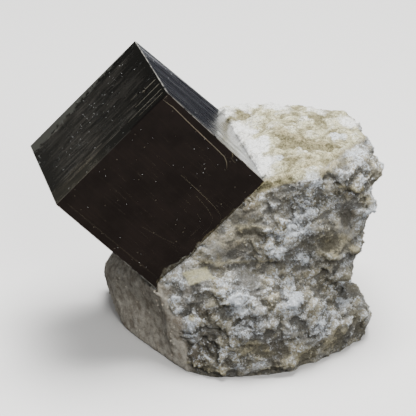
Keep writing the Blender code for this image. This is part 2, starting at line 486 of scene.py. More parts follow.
# %% [markdown]
# ## Striae
# Pyrite's hallmark is its striae: hundreds of fine straight ribs that run one way on each
# face and turn by a right angle on the next.  A tree scatters points over a face and sets a
# long, thin, low spindle on each.  A spindle has only twenty faces.

# %% Striae
STRIAE = {
    "front": {"Density": 0.22 / MM ** 2, "Height": 0.012 * MM, "Seed": 11},
    "left": {"Density": 1.6 / MM ** 2, "Height": 0.025 * MM, "Seed": 12},
}
STRIA_LONGEST = 3.6
STRIA_MARGIN = STRIA_LONGEST * 0.6
STRIA_SHINE = 0.05
STRIA = {"Shortest": 0.7 * MM, "Longest": STRIA_LONGEST * MM, "Width": 0.035 * MM, "Turn": math.radians(90.0)}


def scattered(tree, given, density):
    return add(tree, "GeometryNodeDistributePointsOnFaces",
               {"Mesh": given["Geometry"], "Density": density, "Seed": given["Seed"]})


def random_value(given, low, high, kind="FLOAT"):
    """A random number or vector for each point; either has its own sockets on the node."""
    first, out = (2, 1) if kind == "FLOAT" else (0, 0)
    return add(given["Seed"].tree, "FunctionNodeRandomValue",
               {first: low, first + 1: high, "Seed": given["Seed"]}, out, data_type=kind)


def vector(tree, *parts):
    return add(tree, "ShaderNodeCombineXYZ", dict(enumerate(parts)))


def balls_on(points, turn, size):
    """A ball of twenty faces on every point, turned and stretched."""
    ball = add(points.tree, "GeometryNodeMeshIcoSphere", {"Radius": 1.0, "Subdivisions": 1})
    return add(points.tree, "GeometryNodeInstanceOnPoints",
               {"Points": points, "Instance": ball, "Rotation": turn, "Scale": size})


def stria_tree():
    tree, given = new_tree("striae", "Density", "Shortest", "Longest", "Width", "Height", "Turn",
                           "Seed", "Finish")
    long = random_value(given, given["Shortest"], given["Longest"])
    size = vector(tree, long, given["Width"], given["Height"])
    ribs = balls_on(scattered(tree, given, given["Density"]), vector(tree, 0.0, 0.0, given["Turn"]), size)
    finish_tree(ribs, given["Finish"])
    return tree


def face_sheet(face, margin):
    """A flat sheet the size of a face, on its drawing board."""
    far = [CUBE_EDGES[axis] * MM - margin * MM for axis in BOARDS[face][:2]]
    return rectangle("sheet", (margin * MM, margin * MM), far)


ribbing = stria_tree()
for face, values in STRIAE.items():
    ridges.append(grow_on(face, "striae", face_sheet(face, STRIA_MARGIN), ribbing, **STRIA, **values))
    lines_shine.append(STRIA_SHINE)
    print("striae on the", face, "face:", triangles(ridges[-1]) // 20)


# %% [markdown]
# The ridges and striae are part of the crystal, so they are joined to its mesh.  A number
# called "line" tells the finish how much each of them is painted a brighter brass, a painted
# glint, and made a little hazier.

# %% Join and place the crystal
def join(thing, others):
    """Add the meshes of the others to thing's own."""
    with opened(thing.data) as bm:
        for other in others:
            bm.from_mesh(other.data)
            bpy.data.objects.remove(other)
        bmesh.ops.recalc_face_normals(bm, faces=bm.faces)


shine = [0.0] * len(crystal.data.vertices)
for ridge, its_shine in zip(ridges, lines_shine):
    shine += [its_shine] * len(ridge.data.vertices)
join(crystal, ridges)
paint_numbers(crystal, "line", shine)
in_metres = Matrix.Scale(MM, 4) @ to_world @ Matrix.Scale(1 / MM, 4)
crystal.data.transform(in_metres)
print("crystal with its lines:", triangles(crystal), "triangles")

# %% [markdown]
# The material needs the crystal's own ruler too.  We store u, v and w on every corner of the
# mesh as an attribute, so striations stay parallel to the edges whichever way the cube lies.

# %% Crystal ruler as an attribute
ruler = crystal.data.attributes.new("along_edges", "FLOAT_VECTOR", "POINT")
for vertex, slot in zip(crystal.data.vertices, ruler.data):
    slot.vector = to_crystal @ (vertex.co / MM)
far_end = [max(slot.vector[axis] for slot in ruler.data) for axis in range(3)]
print("ruler up to", [round(x, 1) for x in far_end], "mm along the edges")

# %% [markdown]
# ## The stone
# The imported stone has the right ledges, lumps and hollows, but in facets of about a
# millimetre.  Broken marl is rough down to the grain.  We copy the solid, merge it, remesh
# it in small voxels so that no facet is left, and push its surface by layered noise.
#
# The solid also has a seat cut 0.3 mm wider than the crystal.  In nature there is no gap, so
# every vertex on the seat's wall will be pressed onto the crystal, and a little into it.

# %% Fine copy of the stone
FINE_VOXEL = 0.241
SEAT_CATCH = 0.42
FACET_SMOOTHING = 6

voxel = FINE_VOXEL
stone = link("stone", frame["nodes"]["matrix_stone"].data.copy())
with opened(stone.data) as bm:
    bmesh.ops.remove_doubles(bm, verts=bm.verts, dist=0.005 * MM)
put(stone.modifiers.new("voxels", "REMESH"), mode="VOXEL", voxel_size=voxel * MM)
put(stone.modifiers.new("facets off", "SMOOTH"), factor=0.5, iterations=FACET_SMOOTHING)
stone.data = evaluated(stone)
print("stone:", len(stone.data.vertices), "vertices at", voxel, "mm")

# %% [markdown]
# ## Where the break is smooth and where it is rough
# Four kinds of surface meet on this stone.  The shelf on top is a bedding plane, smooth with
# shallow steps.  The left flank is an old joint face, nearly flat and dusty.  The cut
# underside is flat.  All the rest is a fresh break, lumpy and crumbling.  One function says
# how much of each a point has, from its place and the way it faces.

# %% Kinds of surface
FLANK_FACING = Vector((-0.84, -0.50, -0.20))
CORNER_EDGE, CORNER_OUT = Vector((15.0, -6.5, 0.0)), Vector((0.876, -0.482, 0.0))
SHOULDER_LEFT = -9.5
SHELF_LEVEL = 23.5
SHELF_FACING, SHELF_END = (0.50, 0.80), (0.9, -0.3)
FLANK_ALIKE, FLANK_FROM = (0.62, 0.84), (-1.5, -3.6)
WOBBLE, WOBBLE_SIZE = 0.10, 2.0
BASE_BELOW, BASE_FACING = (0.7, 0.3), (-0.6, -0.9)


def kinds(point, normal):
    """(shelf, flank, base) from 0 to 1 for a point in mm."""
    wobble = WOBBLE * noise.noise(point / WOBBLE_SIZE)
    shelf = smoothstep(*SHELF_FACING, normal.z + wobble)
    shelf *= smoothstep(SHELF_LEVEL - 1, SHELF_LEVEL + 1, point.z)
    beyond = (point - CORNER_EDGE).dot(CORNER_OUT) + 3.0 * wobble
    shelf *= smoothstep(*SHELF_END, beyond)
    flank = smoothstep(*FLANK_ALIKE, normal.dot(FLANK_FACING) + wobble) * smoothstep(*FLANK_FROM, point.x)
    flank = max(flank, 0.9 * smoothstep(SHOULDER_LEFT + 2, SHOULDER_LEFT - 1, point.x))
    base = smoothstep(*BASE_BELOW, point.z) * smoothstep(*BASE_FACING, normal.z)
    return shelf, flank, base


# %% [markdown]
# ## Roughness in layers
# Noise of one size looks like a sponge.  A break has lumps on lumps, and each kind has its
# own recipe:
# - folded noise, the size of its distance from zero, gives round lumps with sharp creases;
# - a cell pattern gives grains, since the squared distance to a seed is a small dome;
# - a plane through a seed, tilted by a number that belongs to the seed, gives a flat chip;
# - a saw-tooth along the bedding gives thin leaves.
# The point is first shaken by a vector noise, so that nothing runs straight, and stretched
# across the bedding, so that the lumps come out longer along the beds.

# %% Relief layers
SWIRL_STARTS = (Vector((3.3, 8.1, 5.2)), Vector((31.7, 11.3, 5.9)), Vector((-17.1, 47.3, 23.9)))
SWIRL_STRENGTH = 1.2
SHAKE, SHELF_SHAKE = (0.9, 2.6), (0.6, 1.9)
BED_STRETCH = 0.55
LUMPS = ((3.4, 0.90, (0.4, 6.1, 2.2)), (1.5, 0.30, (5.2, 1.7, 9.1)), (0.75, 0.20, (1.2, 8.8, 4.4)))
LUMP_MEAN = 0.24
GRAINS = ((0.95, 0.13, (7.3, 2.9, 0.6)), (0.50, 0.13, (3.1, 5.5, 8.2)))
GRAIN_TOP, GRAIN_FALL = 0.35, 1.3
CHIPS = ((3.2, 0.46, (0.4, 6.1, 2.2)), (1.3, 0.22, (4.9, 3.3, 8.0)))
CHIP_TILT, CHIP_SPREAD = 2.0, 3.7
LEAF_TILT = Vector((-0.16, 0.10, 0.98))
LEAF_SPACING = 1.25
LEAF_DEPTH = 0.20
SHELF_LUMPS = ((2.8, 0.68, (8.1, 0.3, 2.7)), (1.1, 0.50, (2.6, 4.8, 1.1)), (0.5, 0.22, (6.4, 3.7, 9.5)))


def swirl(point):
    """A vector noise: three plain noises read far apart.  It is the same at every run."""
    return SWIRL_STRENGTH * Vector([noise.noise(point + start) for start in SWIRL_STARTS])


def shake(point, amount, size):
    return point + amount * swirl(point / size)


def lumps(point, layers):
    return sum(rise * (abs(noise.noise(point / size + Vector(shift))) - LUMP_MEAN)
               for size, rise, shift in layers)


def grains(point):
    height = 0.0
    for size, rise, shift in GRAINS:
        near = noise.voronoi(point / size + Vector(shift))[0]
        height += rise * (GRAIN_TOP - GRAIN_FALL * near[0] * near[0])
    return height


def chips(point):
    height = 0.0
    for size, rise, shift in CHIPS:
        place = point / size + Vector(shift)
        seed = noise.voronoi(place)[1][0]
        height += rise * (place - seed).dot(swirl(seed * CHIP_SPREAD)) * CHIP_TILT
    return height


def leaves(point):
    level = point.dot(LEAF_TILT) / LEAF_SPACING + 0.9 * noise.noise(point / 2.6)
    tooth = level - math.floor(level)
    return LEAF_DEPTH * (tooth - 0.5)


def break_relief(point):
    """Height of the fresh break over the plain form, in mm."""
    shaken = shake(point, *SHAKE)
    bedded = shaken + LEAF_TILT * shaken.dot(LEAF_TILT) * BED_STRETCH
    return lumps(bedded, LUMPS) + grains(shaken) + chips(shaken) + leaves(shaken)


def shelf_relief(point):
    """Height of the weathered bedding plane, in mm."""
    return lumps(shake(point, *SHELF_SHAKE), SHELF_LUMPS)


def seat_distance(point):
    """(mm outside the crystal, direction out of its nearest face); negative inside."""
    u, v, w = to_crystal @ point
    swell = CUBE_SWELL * max(0.0, min(u / CUBE_EDGES[0], w / CUBE_EDGES[2], 1.0))
    sides = ((-u, 0, -1), (u - CUBE_EDGES[0], 0, 1), (-v - swell, 1, -1),
             (v - CUBE_EDGES[1], 1, 1), (-w, 2, -1), (w - CUBE_EDGES[2], 2, 1))
    away, axis, sign = max(sides)
    return away, CUBE_AXES[axis] * sign


# %% [markdown]
# ## Ledges
# Where a bed ends it leaves a thin jutting lip, stained cream, with a hollow under it that is also painted
# dark, a painted shadow.
# A lip is a path on the stone.  All paths are sampled into one search tree; a vertex asks
# for the nearest sample and how far above or below it lies.

# %% Ledge lips
LIPS = {
    "shelf rim left": (0.35, ((7.8, -6.6, 25.3), (9.0, -6.6, 25.9), (10.3, -6.6, 26.3), (13.1, -6.7, 27.0))),
    "shelf rim right": (0.35, ((14.9, -6.9, 27.0), (16.3, -6.0, 27.0), (17.5, -4.8, 27.1),
                               (18.7, -2.9, 27.0))),
    "beside the crystal": (0.30, ((4.4, -9.0, 19.9), (6.0, -9.4, 19.9), (7.5, -10.0, 20.0))),
    "over the crack": (0.22, ((-0.4, -10.4, 15.1), (1.8, -9.9, 15.0), (4.3, -10.5, 15.4), (6.7, -10.4, 15.6),
                              (8.5, -10.3, 15.5))),
    "right under ledge": (0.30, ((17.7, -6.9, 25.0), (19.4, -5.8, 24.3), (21.1, -4.5, 23.4))),
    "right knee": (0.30, ((19.5, -6.5, 15.5), (20.5, -6.3, 14.3))),
    "low left": (0.25, ((-2.9, -13.8, 1.7), (-0.4, -15.0, 1.1), (3.0, -15.4, 0.9))),
    "low right": (0.25, ((8.0, -15.2, 1.6), (11.2, -14.1, 1.4), (14.3, -11.6, 1.2))),
    "shelf scarp": (0.42, ((9.3, 5.9, 27.2), (10.8, 4.7, 27.2), (12.3, 3.7, 27.2), (13.1, 2.2, 27.2))),
    "shelf scarp right": (0.38, ((13.4, 1.9, 27.2), (15.2, 2.4, 27.2), (17.6, 1.2, 27.2))),
    "shelf scarp front": (0.30, ((10.6, -2.6, 27.1), (13.2, -1.9, 27.2), (16.2, -2.2, 27.1),
                                 (18.6, -0.9, 27.0))),
}
LIP_UP = Vector((0.0, 0.47, 0.88))
LIP_REACH = 1.5
LIP_STEP = 0.2
TALL_LIP = 0.35
LIP_SIDE = 0.9
JUT, HOLLOW, TINT = (0.05, 0.34), (-0.62, 0.40), (0.10, 0.36)
HOLLOW_DEPTH = 1.1
LIP_SHAKE = (0.5, 1.1)


def lip_samples():
    samples = []
    for rise, path in LIPS.values():
        for start, end in zip(path, path[1:]):
            start, end = Vector(start), Vector(end)
            count = max(1, round((end - start).length / LIP_STEP))
            samples += [(start.lerp(end, i / count), rise) for i in range(count)]
    search = kdtree.KDTree(len(samples))
    for index, (place, rise) in enumerate(samples):
        search.insert(place, index)
    search.balance()
    return samples, search


lips, lip_search = lip_samples()


def bell(value, middle, width):
    return math.exp(-((value - middle) / width) ** 2)


def lip_at(point):
    """(height in mm, cream, painted shadow) of the nearest lip at a point."""
    shaken = shake(point, *LIP_SHAKE)
    place, index, away = lip_search.find(shaken)
    if away > LIP_REACH:
        return 0.0, 0.0, 0.0
    above = (shaken - place).dot(LIP_UP)
    sideways = math.sqrt(max(0.0, away * away - above * above))
    near, rise = bell(sideways, 0.0, LIP_SIDE), lips[index][1]
    jut, hollow = bell(above, *JUT), bell(above, *HOLLOW)
    tint = near * min(1.0, rise / TALL_LIP)
    return rise * near * (jut - HOLLOW_DEPTH * hollow), tint * bell(above, *TINT), tint * hollow


print("lips:", len(LIPS), "paths,", len(lips), "samples")

# %% [markdown]
# ## Spots
# Colour on broken rock is not random: chalk powder lies white where the rock was bruised,
# and hollows, recesses and the low front are painted brown and olive, partly as damp stain and
# partly as painted shade.  Everything of that kind is given as a few soft spots, each with a
# centre, a reach in millimetres and a strength.  Pits and knobs are spots too, only that they
# move the surface, and pits are also painted darker, a painted shade.  Where a few faces broke
# clean a smooth spot takes off both the relief and the chalk.  Round the back, where nothing
# is placed, slow noise lets the chalk drift.

# %% Frost, stain and shade, cream and light, bright and highlight spots, pits and knobs
FROST = {
    "foot": (-4.4, -12.8, 11.4, 2.6, 0.9), "foot low": (-3.0, -14.0, 7.4, 2.4, 0.8),
    "bulge crown": (3.9, -14.4, 12.1, 3.2, 1.0), "bulge right": (11.7, -13.3, 10.9, 2.8, 0.9),
    "bulge middle": (5.8, -15.5, 7.8, 2.6, 0.65), "low rim": (1.6, -15.2, 3.7, 2.0, 0.5),
    "low spot": (4.1, -15.2, 2.1, 1.6, 0.7), "lobe": (15.8, -11.1, 6.7, 3.2, 0.75),
    "lobe right": (18.5, -5.6, 6.2, 2.4, 0.6), "middle": (12.2, -9.3, 20.2, 2.6, 0.95),
    "middle left": (8.8, -10.4, 19.1, 2.2, 0.7), "upper": (13.4, -8.5, 23.4, 2.6, 0.75),
    "under the rim": (13.8, -7.8, 26.2, 2.0, 0.7), "upper right": (16.6, -6.2, 22.2, 2.2, 0.6),
    "crack knob": (9.5, -10.8, 16.9, 1.7, 0.85), "second knob": (12.7, -9.0, 15.4, 1.8, 0.7),
    "saddle": (12.0, -11.6, 12.8, 2.6, 0.75), "right shoulder": (19.5, -2.6, 25.6, 3.4, 0.75),
    "right nose": (23.0, -2.0, 25.2, 1.8, 1.0),
    "shelf front": (9.4, -2.2, 26.9, 1.5, 0.8), "shelf right": (18.0, 4.6, 26.9, 1.6, 0.8),
}
# Stain and painted shade: some spots tint slopes and the shelf tan; those in hollows, recesses, under the
# crystal's corner and along the low front are painted shade.
STAIN_AND_SHADE = {
    "bulge hollow": (-0.3, -14.2, 9.5, 1.6, 0.8), "lower hollow": (0.0, -14.2, 5.1, 2.2, 0.6),
    "under the corner": (5.4, -7.6, 22.9, 2.4, 0.7), "right recess": (19.7, -5.2, 23.5, 1.8, 0.9),
    "right recess low": (18.8, -6.4, 20.0, 1.9, 0.8),
    "low left": (-2.4, -14.2, 2.6, 3.4, 0.85), "low right": (16.5, -10.4, 2.5, 3.0, 0.35),
    "left slope": (3.4, -10.2, 17.4, 3.0, 0.5), "right slope": (17.2, -7.8, 17.4, 3.0, 0.4),
    "low middle": (9.0, -14.8, 4.2, 3.0, 0.75), "shelf tan": (4.6, 10.6, 27.0, 2.2, 0.9),
    "shelf hollow": (11.4, 2.6, 27.2, 2.8, 0.8), "shelf hollow right": (14.7, 0.3, 27.1, 2.0, 0.95),
    "shelf back": (15.0, 11.0, 27.2, 3.4, 0.35), "shelf pit": (17.3, 4.3, 26.9, 0.6, 0.9),
}
# White chalk, partly painted light: "right edge" brightens a facet that faces the light, a painted highlight,
# and the spots beside the crystal whiten the stone against the contact shade.
BRIGHT_CHALK_AND_HIGHLIGHT = {
    "beside the crystal": (6.6, 2.5, 26.6, 2.4, 1.0), "beside the corner": (7.4, -2.4, 26.3, 2.2, 1.0),
    "by the tip": (7.6, -4.4, 26.0, 1.5, 0.8), "behind": (4.9, 6.5, 26.8, 2.2, 0.8),
    "right edge": (20.7, 10.0, 26.2, 2.6, 0.9), "back left": (5.0, 14.4, 27.0, 3.0, 0.8),
    "back": (10.0, 14.8, 27.0, 3.0, 0.8), "back right": (15.5, 14.8, 27.0, 2.4, 0.6),
}
# Cream stain on ledges and the shelf; "rim right" and "lobe foot" lighten the low right underside where light
# falls there, a painted light.
CREAM_AND_PAINTED_LIGHT = {
    "shelf front band": (13.6, -4.4, 27.0, 3.0, 0.7), "shelf middle": (9.5, 8.0, 27.2, 3.4, 0.5),
    "flat right": (17.4, -8.2, 16.5, 3.4, 0.6), "bulge left": (-2.4, -14.2, 8.7, 0.9, 0.9),
    "knee": (19.6, -6.6, 10.8, 2.4, 0.5), "right nose": (21.6, -5.2, 21.8, 2.0, 0.6),
    "low ledge": (5.7, -14.9, 4.6, 2.0, 0.7), "low ledge right": (7.9, -15.0, 3.8, 1.8, 0.6),
    "rim": (10.5, -14.9, 1.7, 2.4, 0.5), "rim right": (13.5, -12.4, 1.8, 3.0, 0.6),
    "lobe foot": (17.0, -9.8, 2.6, 3.0, 0.6), "lobe end": (19.6, -7.4, 4.6, 2.0, 0.5),
}
# Pits dent the surface and are also painted darker through the stain number: painted shade.
PITS = {
    "under the knee": (16.0, -8.2, 12.3, 1.0, 0.9), "bulge right": (11.5, -13.7, 8.1, 0.9, 0.6),
    "saddle": (14.7, -10.8, 10.2, 0.9, 0.6), "bulge left": (3.6, -15.0, 8.6, 0.8, 0.5),
    "bulge middle": (8.2, -14.8, 7.1, 0.9, 0.6), "lobe": (17.8, -9.9, 3.7, 1.0, 0.6),
    "hollow": (-0.3, -14.2, 9.5, 1.1, 0.5), "low": (0.9, -14.4, 6.6, 1.3, 0.45),
    "right": (18.8, -6.4, 20.0, 1.3, 0.8), "valley": (10.6, -11.2, 14.3, 1.3, 0.7),
    "shelf": (17.3, 4.3, 26.9, 0.6, 0.4),
}
KNOBS = {
    "crack": (9.5, -10.8, 16.9, 1.5, 0.7), "second": (12.7, -9.0, 15.4, 1.2, 0.6),
    "crown": (4.2, -14.2, 12.3, 1.8, 0.4), "nose": (11.9, -13.2, 11.2, 1.6, 0.4),
    "low hollow": (-0.6, -14.0, 4.8, 1.7, 0.6),
}
SMOOTH = {
    "left slope": (2.2, -10.2, 17.4, 3.4, 0.80), "beside the crystal": (5.4, -9.0, 20.8, 2.8, 0.75),
    "flat right": (18.2, -7.2, 17.8, 3.2, 0.80), "right nose": (23.4, -1.8, 24.6, 2.6, 0.95),
    "lobe": (17.3, -10.3, 3.2, 2.4, 0.55),
}
CHIP_MIDDLE = Vector((-1.3, -12.0, 14.3))
CHIP_ALONG, CHIP_DOWN = Vector((0.95, 0.29, 0.13)), Vector((0.30, -0.83, -0.47))
CHIP_HALF = (1.70, 1.15)
CHIP_REACH = 2.5
CHIP_SHAKE = (0.3, 1.3)
CHIP_SOFT = 0.12
SPOT_END = 1.15
FROST_FLOOR = 0.05
DRIFT = 0.75


def spots(point, places, soft=0.35):
    """The strongest of the spots at a point; soft is where a spot starts to fade."""
    amount = 0.0
    for *centre, reach, strength in places.values():
        away = (point - Vector(centre)).length / reach
        if away < SPOT_END:
            amount = max(amount, strength * (1.0 - smoothstep(soft, SPOT_END, away)))
    return amount


def chip_at(point):
    """1 on the flat flake scar with straight sides, 0 off it."""
    off = shake(point, *CHIP_SHAKE) - CHIP_MIDDLE
    if off.length > CHIP_REACH:
        return 0.0
    inside = min(CHIP_HALF[0] - abs(off.dot(CHIP_ALONG)), CHIP_HALF[1] - abs(off.dot(CHIP_DOWN)))
    return smoothstep(-CHIP_SOFT, CHIP_SOFT, inside)


# %% [markdown]
# Now every vertex moves once.  A vertex on the seat's wall goes a fifth of a millimetre into
# the crystal, so that no dark gap shows, and stays plain.  Where the shelf meets the crystal
# the solid's rounded rim is filled up again, except round the crystal's tip, which stands
# free.  Near the crystal the relief fades, so that no knob stands through a face.
#
# Each vertex also keeps the numbers the finish reads: its height in the relief, which tells
# lumps from creases, how much shelf, flank and chip it has, and its spots.

# %% Shape the break
SEAT_FADE = 1.0
PRESS = 0.22
SHELF_FRESH = 2.6
SEAT_FILL = 0.55
SEAT_CREST = 0.45
TIP_FREE = (-0.8, 1.8)
WALL_FACING = -0.3
FLANK_CALM, CHIP_CALM, FLANK_BARE = 0.85, 0.9, 0.8
NUDGE, BLUR = (0.7, 0.9), (1.1, 1.6)
BACK_HALF, RIGHT_END = (-6.0, -1.0), (19.5, 22.0)
DRIFT_FROM, DRIFT_SIZE = (-0.15, 0.30), 5.5
# Painted shadow under lips: it lowers the relief number and joins the stain number, and both darken the
# colour.
SHELF_CONTRAST, SHADOW_DEEP, PAINTED_SHADOW_DARK = 1.5, 0.5, 0.8
CRUMBS_EVEN, CRUMBS_SHELF = 0.45, 0.03


def mix_numbers(one, two, share):
    return one * (1.0 - share) + two * share


def broken(point, normal):
    """(the way a point of the stone moves, its numbers for the finish), in mm."""
    shelf, flank, base = kinds(point, normal)
    away, outwards = seat_distance(point)
    beside = smoothstep(SHELF_FRESH, 0.8, away) * smoothstep(SHELF_LEVEL, SHELF_LEVEL + 1.5, point.z)
    beside *= smoothstep(*TIP_FREE, (to_crystal @ point).z)
    rim = shelf * (1.0 - shelf) * (1.0 - beside)
    shelf = max(shelf, beside)
    chip = chip_at(point)

    nudged = shake(point, *NUDGE)
    calm = spots(nudged, SMOOTH, 0.2)
    pitted = spots(nudged, PITS, 0.0)
    rough = (1.0 - shelf) * (1.0 - FLANK_CALM * flank) * (1.0 - base) * (1.0 - CHIP_CALM * chip)
    rough *= 1.0 - calm
    relief = break_relief(point) + spots(nudged, KNOBS, 0.0) - pitted
    smooth = shelf_relief(point)
    jut, cream, shadow = lip_at(point)
    height = rough * relief + shelf * smooth + jut * (1.0 - base) * (1.0 - flank)
    height *= smoothstep(SEAT_CATCH, SEAT_FADE, away)

    slide = Vector((0, 0, 1)) - outwards * outwards.z
    filled = SEAT_FILL * smoothstep(1.5, 0.3, away) + SEAT_CREST * smoothstep(0.5, 0.0, away)
    raised = slide * (beside * filled)
    on_wall = away < SEAT_CATCH or (away < 2 * SEAT_CATCH and normal.dot(outwards) < WALL_FACING)
    move = raised - outwards * (away + PRESS) if on_wall else normal * height + raised

    shaken = shake(point, *BLUR)
    frosted, stained_and_shaded = spots(shaken, FROST), spots(shaken, STAIN_AND_SHADE)
    behind = max(smoothstep(*BACK_HALF, point.y), smoothstep(*RIGHT_END, point.x)) * (1.0 - shelf)
    drift = DRIFT * behind * smoothstep(*DRIFT_FROM, noise.noise(point / DRIFT_SIZE))
    crumbly = rough * (CRUMBS_EVEN + frosted) * smoothstep(0.7, 1.6, away) + CRUMBS_SHELF * shelf
    return move, {
        # On the shelf the relief number is scaled by SHELF_CONTRAST, which strengthens the painted shade and
        # highlight that follow it; under lips it is lowered by the painted shadow.
        "relief": mix_numbers(relief, smooth * SHELF_CONTRAST, shelf) - SHADOW_DEEP * shadow,
        "shelf": shelf, "flank": flank, "rim": rim, "chip": chip,
        "frost": max(FROST_FLOOR, drift, frosted) * (1.0 - FLANK_BARE * flank) - calm,
        # Stain and shade in one number: stain spots, the painted shade of pits and the painted shadow under
        # lips.
        "stain_and_shade": max(stained_and_shaded, pitted, PAINTED_SHADOW_DARK * shadow),
        "cream": max(cream, spots(shaken, CREAM_AND_PAINTED_LIGHT)),
        # Chalk and painted light: bright spots and the shelf beside the crystal, whitened against the contact
        # shade.
        "bright": max(spots(shaken, BRIGHT_CHALK_AND_HIGHLIGHT), 0.6 * beside) * (1.0 - 0.8 * stained_and_shaded),
        "crumbly": crumbly * smoothstep(0.4, 1.2, point.z),
    }


def shape_break(thing):
    vertices = thing.data.vertices
    results = [broken(vertex.co / MM, vertex.normal) for vertex in vertices]
    for vertex, (move, _) in zip(vertices, results):
        vertex.co += move * MM
        vertex.co.z = max(vertex.co.z, 0.0)
    for name in results[0][1]:
        paint_numbers(thing, name, [numbers[name] for _, numbers in results])
    paint_numbers(thing, "facing_up", [vertex.normal.z for vertex in vertices])


shape_break(stone)
for face in stone.data.polygons:
    face.use_smooth = True
print("stone:", triangles(stone), "triangles")

# %% [markdown]
# ## Ingredients of a finish
# Each finish is a node tree on its own.  The helpers below are its ingredients: a blank
# material, a node of the shader kind, a colour ramp, a mixture of two colours, and noises of
# several sorts.  A plain number given for a colour means a grey.

# %% Material helpers
def new_finish(name, **inputs):
    """A material with one principled shader, and the tree and shader to work on."""
    finish = put(bpy.data.materials.new(name), use_nodes=True)
    tree = finish.node_tree
    tree.nodes.clear()
    shader = tree.nodes.new("ShaderNodeBsdfPrincipled")
    fill(tree.nodes.new("ShaderNodeOutputMaterial"), {"Surface": Wire(shader.outputs["BSDF"])})
    fill(shader, inputs)
    return finish, tree, shader


def wear(thing, finish):
    """Give a piece this finish and no other."""
    thing.data.materials.clear()
    thing.data.materials.append(finish)


def node(tree, kind, inputs=None, out=0, **settings):
    return add(tree, "ShaderNode" + kind, inputs, out, **settings)


def rgba(colour):
    """A colour with its alpha; a single number is a grey, and a wire stays as it is."""
    if isinstance(colour, Wire):
        return colour
    return (*((colour,) * 3 if isinstance(colour, float) else colour), 1.0)


def ramp(factor, *stops):
    """A colour ramp eased between its stops, which are (place, colour) pairs."""
    made = factor.tree.nodes.new("ShaderNodeValToRGB")
    made.color_ramp.interpolation = "EASE"
    elements = made.color_ramp.elements
    while len(elements) < len(stops):
        elements.new(0.5)
    for element, (place, colour) in zip(elements, stops):
        put(element, position=place, color=rgba(colour))
    fill(made, {"Fac": factor})
    return Wire(made.outputs["Color"])


def fade(factor, low, high, most=1.0):
    """0 below low, most above high."""
    return ramp(factor, (low, 0.0), (high, 1.0)) * most


def mix(factor, one, two, blend="MIX"):
    """A mixture of two colours: sockets 6, 7 and output 2 are the node's colour ones."""
    return node(tree_of(factor, one, two), "Mix", {0: factor, 6: rgba(one), 7: rgba(two)}, 2,
                data_type="RGBA", blend_type=blend)


def split(place):
    """The three numbers of a vector."""
    return [Wire(out) for out in node(place.tree, "SeparateXYZ", {0: place}).socket.node.outputs]


def number(tree, name):
    return node(tree, "Attribute", out="Fac", attribute_name=name)


def clouds(place, scale, detail, coarse=0.62):
    return node(place.tree, "TexNoise",
                {"Vector": place, "Scale": scale, "Detail": detail, "Roughness": coarse})


def cells(place, scale, out="Distance"):
    return node(place.tree, "TexVoronoi", {"Vector": place, "Scale": scale}, out)


# %% [markdown]
# ## Chalky marl
# Fresh marl is nearly white with a cold blue-grey cast, and the iron in it has stained the
# ledges and the bedding plane cream to tan.  Seen close, the break is a mosaic of grains,
# some white with crushed chalk, some bare.  A cell pattern gives each grain a number of its
# own, and the frost number, the height and the way up only raise the odds that a grain is
# white.  That keeps the white broken up even where there is much of it.  The height and the
# way up make lump tops and up-facing grains whiter, a painted highlight.  Creases and low
# places are painted darker, a painted shade.  Fine grit that no mesh should carry is bump.

# %% Marl finish
MARL_WHITE = (0.72, 0.76, 0.80)
MARL_GREY = (0.38, 0.37, 0.335)
MARL_CREAM = (0.46, 0.42, 0.31)
MARL_TAN = (0.28, 0.245, 0.155)
MARL_SHADE = (0.085, 0.082, 0.072)
BROWN_STAIN_AND_SHADE = (0.17, 0.14, 0.095)
LEDGE_CREAM = (0.47, 0.415, 0.255)
CHIP_YELLOW = (0.47, 0.44, 0.28)
FLANK_DRAB = (0.78, 0.72, 0.60)
FLANK_DULL = (0.43, 0.365, 0.285)
SHELF_CREAM = (0.60, 0.565, 0.38)
SHELF_WHITE = (0.80, 0.80, 0.76)
SHELF_TAN_AND_SHADE = (0.24, 0.215, 0.125)
CHALK_AND_HIGHLIGHT_WHITE = (0.96, 0.96, 0.93)
SPECK = (0.14, 0.12, 0.10)
SPECKLE_DARK, SPECKLE_LIGHT = (0.50, 0.49, 0.45), (1.10, 1.10, 1.08)
SHADE_DARK, SHADE_LIGHT = 0.76, 1.22
RAGGED_BY, RAGGED_SCALE = 0.9, 1.6
GRIT_DEPTH = 0.42
MARL_ROUGHNESS, MARL_SPECULAR = 0.92, 0.25
MARL_NUMBERS = ("relief", "facing_up", "shelf", "flank", "rim", "frost", "stain_and_shade", "cream", "bright", "chip")


def shaken_place(place):
    """The place moved by a noise, so that cells get ragged borders."""
    wander = node(place.tree, "TexNoise", {"Vector": place, "Scale": RAGGED_SCALE, "Detail": 3.0}, "Color")
    return node(place.tree, "VectorMath", {0: wander, 1: (RAGGED_BY,) * 3, 2: place},
                operation="MULTIPLY_ADD")


